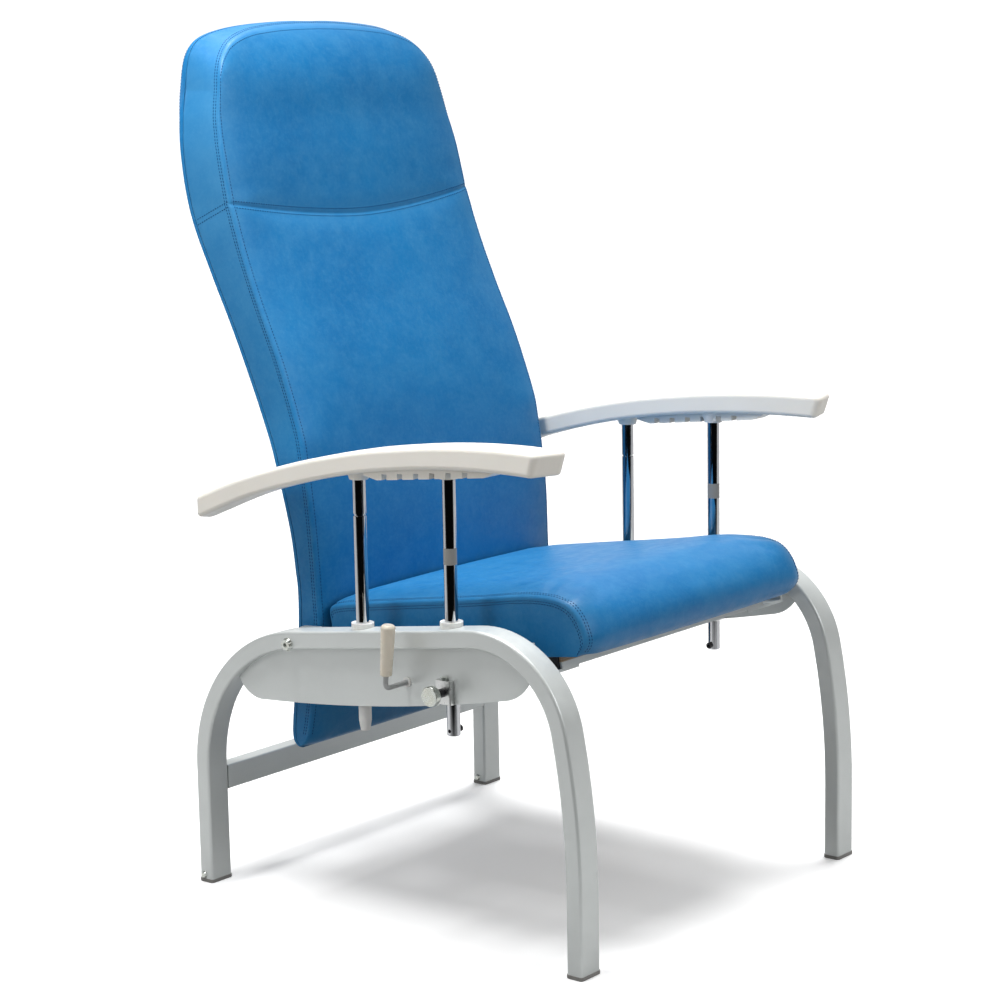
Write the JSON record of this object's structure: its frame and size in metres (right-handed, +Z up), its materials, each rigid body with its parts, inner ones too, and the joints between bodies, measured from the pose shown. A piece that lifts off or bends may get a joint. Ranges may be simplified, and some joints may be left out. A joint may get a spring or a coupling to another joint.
{
  "type": "patient recliner chair",
  "caption": "Hospital patient chair with a reclining high back on a gas spring, bent-tube side frames, upholstered seat, sliding padded armrests and a side recline lever.",
  "frame": {"origin": "on the floor, midway between the four feet, on the chair's middle plane", "axes": "+Z up; -Y is the front of the chair; -X is the sitter's right, the side with the recline lever"},
  "size_m": [0.7239, 0.7672, 1.225],
  "materials": {
    "painted_frame": "satin metallic grey powder coat",
    "dark_plastic": "matt black",
    "zinc": "zinc plated",
    "white_plastic": "smooth",
    "light_metal": "cast, satin",
    "dark_metal": "black oxide",
    "plywood": "raw plywood",
    "blue_vinyl": "blue vinyl-coated upholstery fabric, fine grain",
    "cream_foam": "self-skinned polyurethane foam",
    "chrome_post": "polished",
    "grey_plastic": "plain band",
    "grey_rod": "satin",
    "ivory_plastic": "semi gloss"
  },
  "bodies": {
    "frame": {"side_frame_right": "painted_frame", "side_panel_right": "painted_frame", "side_frame_left": "painted_frame", "side_panel_left": "painted_frame", "rear_crossbar": "painted_frame", "foot_glides": "grey_plastic", "leg_bolts": "zinc", "arm_bushes": "white_plastic", "rear_post_guides": "dark_plastic", "lock_housings": "light_metal", "lock_screws": "zinc", "plunger_bodies": "dark_metal", "pivot_bolts": "zinc", "pivot_washers": "white_plastic", "lever_bush": "white_plastic", "seat_frame": "painted_frame", "seat_frame_bolts": "zinc", "seat_side_trims": "dark_plastic", "seat_board": "plywood", "seat_board_screws": "zinc", "seat_cushion": "blue_vinyl", "spring_bracket": "painted_frame", "spring_pin": "zinc", "release_cable": "dark_plastic", "cable_anchor": "painted_frame"},
    "backrest": {"back_frame": "painted_frame", "back_spring_pin": "zinc", "back_cushion": "blue_vinyl", "back_panel": "blue_vinyl"},
    "armrest_right": {"arm_pad_right": "cream_foam", "arm_plate_right": "dark_metal", "arm_screws_right": "zinc", "arm_front_post_right": "chrome_post", "arm_rear_post_right": "chrome_post", "arm_post_tip_right": "white_plastic", "arm_stop_screw_right": "dark_metal", "arm_post_label_right": "grey_plastic"},
    "armrest_left": {"arm_pad_left": "cream_foam", "arm_plate_left": "dark_metal", "arm_screws_left": "zinc", "arm_front_post_left": "chrome_post", "arm_rear_post_left": "chrome_post", "arm_post_tip_left": "white_plastic", "arm_stop_screw_left": "dark_metal", "arm_post_label_left": "grey_plastic"},
    "plunger_right": {"plunger_pin_right": "zinc", "plunger_knob_right": "zinc", "plunger_spring_right": "dark_metal"},
    "plunger_left": {"plunger_pin_left": "zinc", "plunger_knob_left": "zinc", "plunger_spring_left": "dark_metal"},
    "recline_lever": {"lever_rod": "grey_rod", "lever_grip": "ivory_plastic"},
    "gas_cylinder": {"gas_cylinder": "dark_metal", "gas_gland": "dark_plastic"},
    "gas_rod": {"gas_rod": "chrome_post", "gas_rod_eye": "dark_metal"}
  },
  "joints": [
    {"name": "back_recline", "type": "hinge", "parent": "frame", "child": "backrest", "pos_m": [0, 0.157, 0.376], "axis": [-1, 0, 0], "range_deg": [0, 35]},
    {"name": "armrest_right_slide", "type": "slide", "parent": "frame", "child": "armrest_right", "axis": [0, 0, 1], "range_m": [-0.14, 0.03]},
    {"name": "armrest_left_slide", "type": "slide", "parent": "frame", "child": "armrest_left", "axis": [0, 0, 1], "range_m": [-0.14, 0.03]},
    {"name": "plunger_right_pull", "type": "slide", "parent": "frame", "child": "plunger_right", "axis": [-1, 0, 0], "range_m": [0, 0.006], "stiffness_N_per_m": 800, "springref_m": -0.002},
    {"name": "plunger_left_pull", "type": "slide", "parent": "frame", "child": "plunger_left", "axis": [1, 0, 0], "range_m": [0, 0.006], "stiffness_N_per_m": 800, "springref_m": -0.002},
    {"name": "lever_swing", "type": "hinge", "parent": "frame", "child": "recline_lever", "pos_m": [-0.32, -0.0504, 0.35], "axis": [1, 0, 0], "range_deg": [-20, 25]},
    {"name": "gas_cylinder_swing", "type": "hinge", "parent": "frame", "child": "gas_cylinder", "pos_m": [0, -0.1, 0.338], "axis": [1, 0, 0], "range_deg": [-0.1, 0.5]},
    {"name": "gas_rod_slide", "type": "slide", "parent": "gas_cylinder", "child": "gas_rod", "axis": [0, 0.9568, -0.2909], "range_m": [-0.07, 0.001]}
  ],
  "couplings": [
    {"joint": "gas_cylinder_swing", "follows": "back_recline", "ratio": 0.0111},
    {"joint": "gas_rod_slide", "follows": "back_recline", "m_per_rad": -0.1129}
  ]
}
